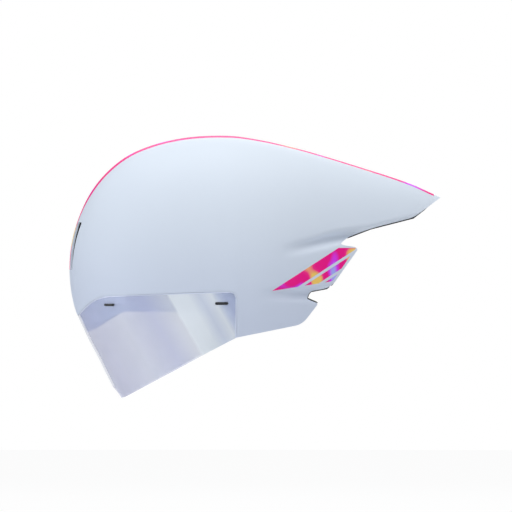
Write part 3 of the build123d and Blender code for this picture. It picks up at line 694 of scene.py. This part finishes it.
# Front vent on the wearer's right, wider at its top: y, z and rounding, in mm
VENT_Y = 22.0
VENT = ((VENT_Y + 7.5, 37.0, 3), (VENT_Y + 4.0, -12.5, 3), (VENT_Y - 4.0, -12.5, 3), (VENT_Y - 7.5, 37.0, 3))

body_of = {}
for body, members in frame["record"]["behaviour"]["bodies"].items():
    for member in members:
        body_of[member] = body


def smooth(piece, sharp):
    """Shade a piece smooth, apart from edges over an angle in degrees."""
    only(piece)
    bpy.ops.object.shade_smooth_by_angle(angle=math.radians(sharp))


def stand_for(piece, paint, node):
    """Give a piece its paint, and let it stand for a CAD node."""
    piece.data.materials.clear()
    piece.data.materials.append(paint.material)
    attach(piece, body_of[node])
    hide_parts(node)
    print(piece.name, len(piece.data.polygons), "faces")


def mirrored_pair(outline):
    return outline, tuple((-y, z, cut_back) for y, z, cut_back in reversed(outline))


shell = skin("shell_moulding", first_angle=177, last=tail_run, inset=0.0, wall=2.0 * MM, rows=160, columns=250)
keep_inside(shell, SHELL_OUTLINE)
for vent in mirrored_pair(VENT):
    open_front(shell, vent)
smooth(shell, 50)
stand_for(shell, shell_lacquer, "outer_shell")

# %% [markdown]
# ## Flange
# Behind the visor the shell goes on as a recessed flange. Its magnets show in slots, which face those of the
# visor.

# %% Flange
FLANGE_OUTLINE = (
    (-130.1, -82.4, 0), (-99.9, -75.8, 8), (-77.4, -61.4, 6), (-66.6, -55.1, 6), (19.4, -56.0, 3),
    (23.5, -62.6, 3), (23.5, -95.9, 1), (50.6, -81.8, 1), (53.9, -79.3, 1), (54.7, -34.6, 1),
    (47.2, -30.8, 2), (-27.0, -33.5, 8), (-87.4, -35.8, 5), (-102.0, -40.8, 6), (-132.8, -72.4, 0),
)
# Magnets of each side: x and z of the middle, length and height, in mm
MAGNETS = ((-80.6, -48.3, 11.0, 2.6), (35.5, -46.7, 13.7, 3.0))


def open_magnet_slots(piece):
    """Cut the magnets' slots, with round ends, through both sides of a piece."""
    for x, z, length, height in MAGNETS:
        slot_outline = rectangle(x, z, length, height, height / 2)
        cut(piece, block(slot_outline, "Y", -HALF_SPAN, HALF_SPAN), "DIFFERENCE")


flange = skin("visor_flange", first_angle=177, last=0.003, inset=2.8 * MM, wall=1.6 * MM, rows=90, columns=160)
keep_inside(flange, FLANGE_OUTLINE)
open_magnet_slots(flange)
smooth(flange, 50)
stand_for(flange, shell_lacquer, "outer_shell")

# %% [markdown]
# ## Visor's coating
# The visor is a clear lens with a light mirror coating. Its reflection is painted: seen square on it looks
# silver and lavender, with slanting soft bands of painted reflection, lighter and darker, so its colour and
# opacity change slowly over it, and a painted highlight runs along its edge. The lens is a wall with two faces,
# and only the face towards the eye counts, so that nothing covers twice.

# %% Coating
# The coating's painted reflection along a slanting line over the lens: its ends in metres, then places, colours
# and covers
PAINTED_REFLECTION_SLANT = 0.5765
PAINTED_REFLECTION_START = -0.155
PAINTED_REFLECTION_END = 0.035
PAINTED_REFLECTION = (
    (0.00, (188, 190, 222), 0.60), (0.10, (196, 200, 234), 0.48), (0.26, (200, 208, 240), 0.40),
    (0.45, (210, 214, 246), 0.60), (0.588, (240, 244, 255), 0.60), (0.600, (244, 249, 255), 0.90),
    (0.70, (244, 249, 255), 0.86), (0.765, (234, 240, 255), 0.72), (0.83, (246, 250, 255), 0.80),
    (0.862, (226, 234, 255), 0.60), (0.90, (196, 206, 240), 0.50), (1.00, (176, 188, 222), 0.50),
)
# Corners of the lens where it meets the shell, in mm, and the width of the painted highlight along its edge
RIM_CORNERS = (
    (-129.9, -75.8), (-106.1, -51.1), (-100.2, -46.0), (-93.8, -42.3), (-86.7, -39.9), (-79.0, -38.9),
    (-27.0, -36.9), (44.9, -34.5), (48.9, -36.2), (50.8, -41.0), (50.3, -81.4),
)
EDGE_HIGHLIGHT_WIDTH = 1.3 * MM
EDGE_HIGHLIGHT_FULL_SHARE = 0.6
EDGE_HIGHLIGHT_COLOUR = from_screen(230, 236, 255)


def edge_highlight_mask(x, z):
    """A painted highlight: 1 along the lens's edges, from the furthest of the half planes that bound it."""
    rim = None
    for (start_x, start_z), (end_x, end_z) in zip(RIM_CORNERS, RIM_CORNERS[1:]):
        away = Vector((start_z - end_z, end_x - start_x)).normalized()
        beyond = (x - start_x * MM) * away.x + (z - start_z * MM) * away.y
        rim = beyond if rim is None else rim.math("MAXIMUM", beyond)
    return rim.rise(-EDGE_HIGHLIGHT_WIDTH, -EDGE_HIGHLIGHT_WIDTH * EDGE_HIGHLIGHT_FULL_SHARE)


def visor_paint():
    paint = Paint("visor_coating", Roughness=0.16, Coat_Weight=0.25, Coat_Roughness=0.05, IOR=1.45)
    x, _, z = paint.place()
    # Painted reflection: the mirror coating's lighter and darker bands, in colour and cover along a slanting
    # line
    slant = (x + z * PAINTED_REFLECTION_SLANT - PAINTED_REFLECTION_START).math("DIVIDE", PAINTED_REFLECTION_END - PAINTED_REFLECTION_START)
    stops = [(place, from_screen(*hue)[:3] + (cover,)) for place, hue, cover in PAINTED_REFLECTION]
    painted_reflection = paint.node("ShaderNodeValToRGB", {"stops": stops}, {"Fac": slant})
    # Painted highlight: a pale line along the lens's edges, which also covers
    rim = edge_highlight_mask(x, z)
    facing = 1.0 - paint.node("ShaderNodeNewGeometry", output="Backfacing")
    cover = painted_reflection.beside("Alpha").math("MAXIMUM", rim) * facing
    paint.set(Base_Color=paint.mix(rim, painted_reflection, EDGE_HIGHLIGHT_COLOUR), Metallic=0.05, Alpha=cover)
    return paint


visor_coating = visor_paint()
print(visor_coating.material.name, len(visor_coating.tree.nodes), "nodes")

# %% [markdown]
# ## Visor
# The lens comes from the same form as the shell, a hair's breadth inside it, trimmed to sit just within the
# shell's edge, with an arch over the nose and slots for its magnets.

# %% Visor
VISOR_OUTLINE = (
    (-150.2, -75.8, 0), (-129.9, -75.8, 0), (-95.0, -39.6, 16), (-27.0, -36.9, 12),
    (45.9, -34.4, 3.5), (50.9, -40.1, 3.5), (50.3, -81.4, 1), (-65.8, -144.4, 1.5), (-70.5, -145.0, 1.5),
    (-73.5, -143.0, 1.2), (-75.5, -139.6, 1.5), (-82.8, -127.1, 0), (-150.2, -127.1, 0),
)
NOSE_HALF = 26.0
NOSE_FOOT_Z = -146.0
NOSE_RISE = 13.0
NOSE_ARCH = tuple(
    (NOSE_HALF * math.cos(math.radians(turn)), NOSE_FOOT_Z + NOSE_RISE * math.sin(math.radians(turn)), 0)
    for turn in range(0, 360, 10)
)

visor = skin("visor_lens", first_angle=205, last=0.001, inset=0.2 * MM, wall=2.0 * MM, rows=110, columns=200)
keep_inside(visor, VISOR_OUTLINE)
open_front(visor, NOSE_ARCH)
open_magnet_slots(visor)
smooth(visor, 50)
stand_for(visor, visor_coating, "visor")

# %% [markdown]
# ## Finishes of the small parts
# Small parts keep the CAD shape and get a finish of their own: coated magnets, foam with its cells, moulded
# nylon with a fine grain, rubber on the dial and zinc on its screw.

# %% Plain finishes
def grained(name, colour, roughness, scale, depth, coat=0.0):
    """A finish with a fine grain, which is darker where it is low."""
    paint = Paint(name, Roughness=roughness, Coat_Weight=coat)
    grain = paint.noise(scale)
    darker = tuple(level * 0.75 for level in colour[:3]) + (1.0,)
    paint.set(Base_Color=paint.mix(grain, darker, colour))
    paint.bump(grain, depth)
    return paint


def foam_paint():
    paint = Paint("liner_foam", Roughness=0.75)
    cells = paint.node("ShaderNodeTexVoronoi", {}, {"Vector": paint.point(), "Scale": 330.0})
    paint.set(Base_Color=paint.mix(cells, from_screen(52, 52, 56), from_screen(24, 24, 27)))
    paint.bump(cells * -1.0, 0.0006)
    return paint


# Name, colour, roughness, scale and depth of the grain, coat
nylon = grained("moulded_nylon", from_screen(50, 50, 54), 0.45, 1400.0, 0.00004)
band_nylon = grained("band_nylon", from_screen(64, 64, 70), 0.38, 900.0, 0.00003)
rubber = grained("dial_rubber", from_screen(44, 44, 48), 0.65, 1600.0, 0.00006)
coated = grained("magnet_coating", from_screen(22, 22, 26), 0.35, 700.0, 0.00002, 0.2)
zinc = grained("zinc_plate", from_screen(176, 178, 184), 0.30, 1200.0, 0.00002)
zinc.set(Metallic=1.0)
acetal = grained("moulded_acetal", from_screen(34, 34, 38), 0.28, 1200.0, 0.00003, 0.2)
foam = foam_paint()
print("finishes", [paint.material.name for paint in (nylon, band_nylon, rubber, coated, zinc, acetal, foam)])

# %% [markdown]
# ## Dressing the CAD pieces
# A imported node's triangles are joined and shaded smooth up to an angle, so that its own curves look round and
# its edges stay crisp.

# %% Dressed pieces
WELD = 2e-6


def dressed(node, paint, sharp=30):
    """A copy of a CAD node with its triangles joined and shaded smooth, which stands for the node."""
    piece = bpy.data.objects.new(node + "_finish", nodes[node].data.copy())
    bpy.context.scene.collection.objects.link(piece)
    remake(piece, lambda: bpy.ops.mesh.remove_doubles(threshold=WELD))
    smooth(piece, sharp)
    stand_for(piece, paint, node)


for node in ("shell_magnets", "visor_magnets"):
    dressed(node, coated)
dressed("eps_liner", foam, sharp=35)
for node in (
    "cradle_yoke", "dial_cover", "height_keeper", "temple_guide_left", "temple_guide_right",
    "temple_anchor_left", "temple_anchor_right", "strap_divider_left", "strap_divider_right",
    "strap_anchors", "dial_pinion",
):
    dressed(node, nylon)
for node in ("band_left", "band_right"):
    dressed(node, band_nylon)
dressed("dial_knob", rubber)
dressed("dial_screw", zinc)
for node in ("buckle_socket", "buckle_plug"):
    dressed(node, acetal)

# %% [markdown]
# ## Cover of the comfort pads
# Each pad is a strip of foam in a knitted cover, sewn round its edge. The knit is a pattern of small cells,
# with a paler fuzz of yarn over it.

# %% Pad cover
def cover_paint():
    paint = Paint("pad_cover", Roughness=0.85, Sheen_Weight=0.25)
    knit = paint.node("ShaderNodeTexVoronoi", {}, {"Vector": paint.point(), "Scale": 900.0})
    yarn = paint.noise(2200.0, 2.0)
    tone = paint.mix(knit * 1.3, from_screen(58, 58, 64), from_screen(30, 30, 34))
    paint.set(Base_Color=paint.mix(yarn * 0.4, tone, from_screen(84, 84, 92)))
    paint.bump(knit * -1.0 + yarn * 0.3, 0.00025)
    return paint


cover = cover_paint()
print(cover.material.name, len(cover.tree.nodes), "nodes")

# %% [markdown]
# ## Filling a pad
# A pad starts as a flat rounded slab, a little thin. Cloth simulation with a little pressure inside fills the
# cover, so its faces crown and its rim turns over. No point may move further than a fixed swell. Sewn channels
# are then pressed in.

# %% Filled pads
PAD_CORNER = 8.0  # mm
PAD_CORNER_SHARE = 0.9
PAD_START_SHARE = 0.72
PAD_SWELL = 0.45 * MM
PAD_VOXEL = 1.1 * MM
SEAM_IN = 3.2 * MM
SEAM_HALF = 1.3 * MM
SEAM_DEPTH = 0.55 * MM
LEAST_LEVEL = 0.0002
FACE_LEVEL = 0.0003
CLOTH_MASS = 0.02
CLOTH_QUALITY = 4
CLOTH_FRAMES = 20
PRESSURE = 60.0


def fill_cover(piece):
    """Swell a closed cover with cloth pressure, and cap how far each point may move."""
    before = [vertex.co.copy() for vertex in piece.data.vertices]
    only(piece)
    cloth = piece.modifiers.new("fill", "CLOTH")
    cloth.settings.quality = CLOTH_QUALITY
    cloth.settings.mass = CLOTH_MASS
    cloth.settings.use_pressure = True
    cloth.settings.uniform_pressure_force = PRESSURE
    cloth.settings.effector_weights.gravity = 0.0
    cloth.collision_settings.use_collision = False
    for frame_number in range(1, CLOTH_FRAMES + 1):
        bpy.context.scene.frame_set(frame_number)
    bpy.ops.object.modifier_apply(modifier=cloth.name)
    moved = 0.0
    for vertex, place in zip(piece.data.vertices, before):
        step = vertex.co - place
        moved = max(moved, step.length)
        if step.length > PAD_SWELL:
            vertex.co = place + step.normalized() * PAD_SWELL
    bpy.context.scene.frame_set(1)
    return moved


def flat_pad(name, length, width, thickness, channels):
    """A filled pad lying flat: x along, z across, y out. Channels are places along it, as shares."""
    corner = min(PAD_CORNER, width / 2 / MM * PAD_CORNER_SHARE)
    start = thickness * PAD_START_SHARE / 2
    piece = block(rectangle(0.0, 0.0, length / MM, width / MM, corner), "Y", -start, start)
    piece.name = name
    modify(piece, "REMESH", mode="VOXEL", voxel_size=PAD_VOXEL)
    moved = fill_cover(piece)
    modify(piece, "SUBSURF", levels=1, render_levels=1)
    for vertex in piece.data.vertices:
        x, y, z = vertex.co
        rim = min(length / 2 - abs(x), width / 2 - abs(z))
        near = abs(rim - SEAM_IN) / SEAM_HALF
        for place in channels:
            if rim > SEAM_IN:
                near = min(near, abs(x - place * length / 2) / SEAM_HALF)
        press = SEAM_DEPTH * (1 - near * near) ** 2 if near < 1 else 0.0
        level = min(abs(y), thickness / 2) - press
        vertex.co.y = math.copysign(max(level, LEAST_LEVEL), y) if abs(y) > FACE_LEVEL else y
    print(name, "moved", round(moved / MM, 2), "mm")
    return piece

# %% [markdown]
# ## Bending a pad to its place
# The head is an ellipsoid, tilted nose-down, and the liner's cavity follows it. A flat pad is bent round a
# hinge line until it lies on a chord of that cavity, and it leans as the cavity does.

# %% Bent pads
HEAD_TILT = math.radians(22.0)
HEAD_FRONT = Vector((-math.cos(HEAD_TILT), 0.0, -math.sin(HEAD_TILT)))
HEAD_UP = Vector((-math.sin(HEAD_TILT), 0.0, math.cos(HEAD_TILT)))
HEAD_RIGHT = Vector((0.0, 1.0, 0.0))
CAVITY_LENGTH = 101.0 * MM
CAVITY_BREADTH = 80.0 * MM
PAD_SEAT = 0.8 * MM
PAD_THICKNESS = 2.8 * MM


def bend_pad(piece, hinge, away, up, radius, level, lean, thickness):
    """Bend a flat pad round a hinge line; its outer face keeps the radius at its middle."""
    side = up.cross(away)
    for vertex in piece.data.vertices:
        x, y, z = vertex.co
        out = y - thickness / 2
        turn = x / radius
        reach = radius + out * math.cos(lean) - z * math.sin(lean)
        climb = level + z * math.cos(lean) + out * math.sin(lean)
        vertex.co = hinge + (away * math.cos(turn) + side * math.sin(turn)) * reach + up * climb
    remake(piece, face_outward)
    only(piece)
    bpy.ops.object.shade_smooth()


def finish_pad(piece, node):
    stand_for(piece, cover, node)


def comfort_pad(name, node, away, up, reach, half, low, high, offset, half_turn, channels):
    """A pad on a chord of the liner's cavity, between two levels along up."""
    ends = [reach * math.sqrt(1 - (level / half) ** 2) for level in (low, high)]
    lean = math.atan2(ends[0] - ends[1], high - low)
    radius = sum(ends) / 2 - offset - PAD_SEAT
    length = 2 * radius * math.radians(half_turn)
    piece = flat_pad(name, length, high - low, PAD_THICKNESS, channels)
    bend_pad(piece, away * offset, away, up, radius, (low + high) / 2, lean, PAD_THICKNESS)
    finish_pad(piece, node)


for name, low, high in (("left", -50, -30), ("middle", -10, 10), ("right", 30, 50)):
    comfort_pad("crown_pad_" + name, "crown_pads", HEAD_UP, HEAD_RIGHT, CAVITY_LENGTH, CAVITY_BREADTH,
                low * MM, high * MM, offset=0.0, half_turn=32.0, channels=(-0.33, 0.33))
comfort_pad("brow_pad_cover", "brow_pad", HEAD_FRONT, HEAD_UP, CAVITY_LENGTH, CAVITY_LENGTH,
            -13 * MM, 13 * MM, offset=34 * MM, half_turn=50.0, channels=(-0.5, 0.0, 0.5))
for name, side in (("left", -1), ("right", 1)):
    comfort_pad("side_pad_cover_" + name, "side_pad_" + name, HEAD_RIGHT * side, HEAD_UP, CAVITY_BREADTH,
                CAVITY_LENGTH, 27 * MM, 53 * MM, offset=-37.4 * MM, half_turn=19.0, channels=(0.0,))

# %% [markdown]
# ## Nape pad
# The nape pad is thicker and lies on the cradle, so it bends about the cradle's own upright axis and rides on
# the cradle's body.

# %% Nape pad
CRADLE_TILT = math.radians(13.0)
CRADLE_OUT = Vector((math.cos(CRADLE_TILT), 0.0, -math.sin(CRADLE_TILT)))
CRADLE_UP = Vector((math.sin(CRADLE_TILT), 0.0, math.cos(CRADLE_TILT)))
CRADLE_CENTRE = Vector((22.2, 0.0, -13.1)) * MM
NAPE_OUTER = 80.4 * MM
NAPE_WIDTH = 20 * MM
NAPE_THICKNESS = 4.4 * MM
NAPE_HALF_TURN = math.radians(24.0)

nape = flat_pad("nape_pad_cover", 2 * NAPE_OUTER * NAPE_HALF_TURN, NAPE_WIDTH, NAPE_THICKNESS, (-0.4, 0.4))
bend_pad(nape, CRADLE_CENTRE, CRADLE_OUT, CRADLE_UP, NAPE_OUTER, 0.0, 0.0, NAPE_THICKNESS)
finish_pad(nape, "nape_pad")

# %% [markdown]
# ## Chin straps
# Webbing is woven flat and keeps its width, so each run is modelled directly: a narrow grid is laid along
# the run, given its wall, and its two edges are thinned as a selvage. The weave is a pattern on the piece.

# %% Webbing
STRAP_Y = 83.0  # this and the next three in mm
STRAP_WIDTH = 16.0
STRAP_THICKNESS = 1.2
STRAP_BULGE = 0.25
STRAP_WALL_SHARE = 0.92
SELVAGE = 0.3 * MM
# Runs on each side: start and end as x and z, then the lowest and highest z that are kept, in mm
STRAP_RUNS = (
    ("front", (66.0, -28.9), (71.0, -53.0), -45.2, -28.9),
    ("rear", (90.0, -28.9), (87.0, -53.0), -45.2, -28.9),
    ("tail", (65.7, -53.0), (57.3, -68.0), -68.0, -53.0),
)
WEAVE_SLANT = 0.35
WEAVE_SCALE = 3600.0


def webbing_paint():
    paint = Paint("strap_webbing", Roughness=0.7, Sheen_Weight=0.15)
    x, _, z = paint.place()
    warp = ((x + z * WEAVE_SLANT) * WEAVE_SCALE).math("SINE")
    weft = ((z - x * WEAVE_SLANT) * WEAVE_SCALE).math("SINE")
    weave = warp * weft
    paint.set(Base_Color=paint.mix(weave * 0.5 + 0.5, from_screen(26, 26, 30), from_screen(58, 58, 64)))
    paint.bump(weave, 0.00012)
    return paint


def strap_run(name, side, start, end, low_z, high_z):
    """One flat run of webbing between two places in the strap's plane, in mm, trimmed to its heights."""
    bpy.ops.object.select_all(action="DESELECT")
    bpy.ops.mesh.primitive_grid_add(x_subdivisions=36, y_subdivisions=12, size=1)
    piece = bpy.context.object
    piece.name = name
    first, last = Vector(start), Vector(end)
    run = last - first
    across = Vector((-run.y, run.x)).normalized()
    for vertex in piece.data.vertices:
        share, wide = vertex.co.x + 0.5, vertex.co.y
        place = first + run * share + across * wide * STRAP_WIDTH
        height = min(high_z, max(low_z, place.y))
        if height != place.y:
            place = place + run * ((height - place.y) / run.y)
        bulge = STRAP_BULGE * math.sin(math.pi * share)
        vertex.co = Vector((place.x, side * (STRAP_Y + bulge - STRAP_THICKNESS / 2), place.y)) * MM
    remake(piece, face_outward)
    if piece.data.polygons[0].normal.y * side < 0:
        remake(piece, bpy.ops.mesh.flip_normals)
    modify(piece, "SOLIDIFY", thickness=STRAP_THICKNESS * MM * STRAP_WALL_SHARE, offset=1.0)
    modify(piece, "BEVEL", width=SELVAGE, segments=2, limit_method="ANGLE", angle_limit=math.radians(50))
    smooth(piece, 40)
    return piece


webbing = webbing_paint()
for name, side in (("left", -1), ("right", 1)):
    for run_name, *places in STRAP_RUNS:
        strap = strap_run("strap_" + run_name + "_" + name, side, *places)
        stand_for(strap, webbing, "chin_straps_" + name)
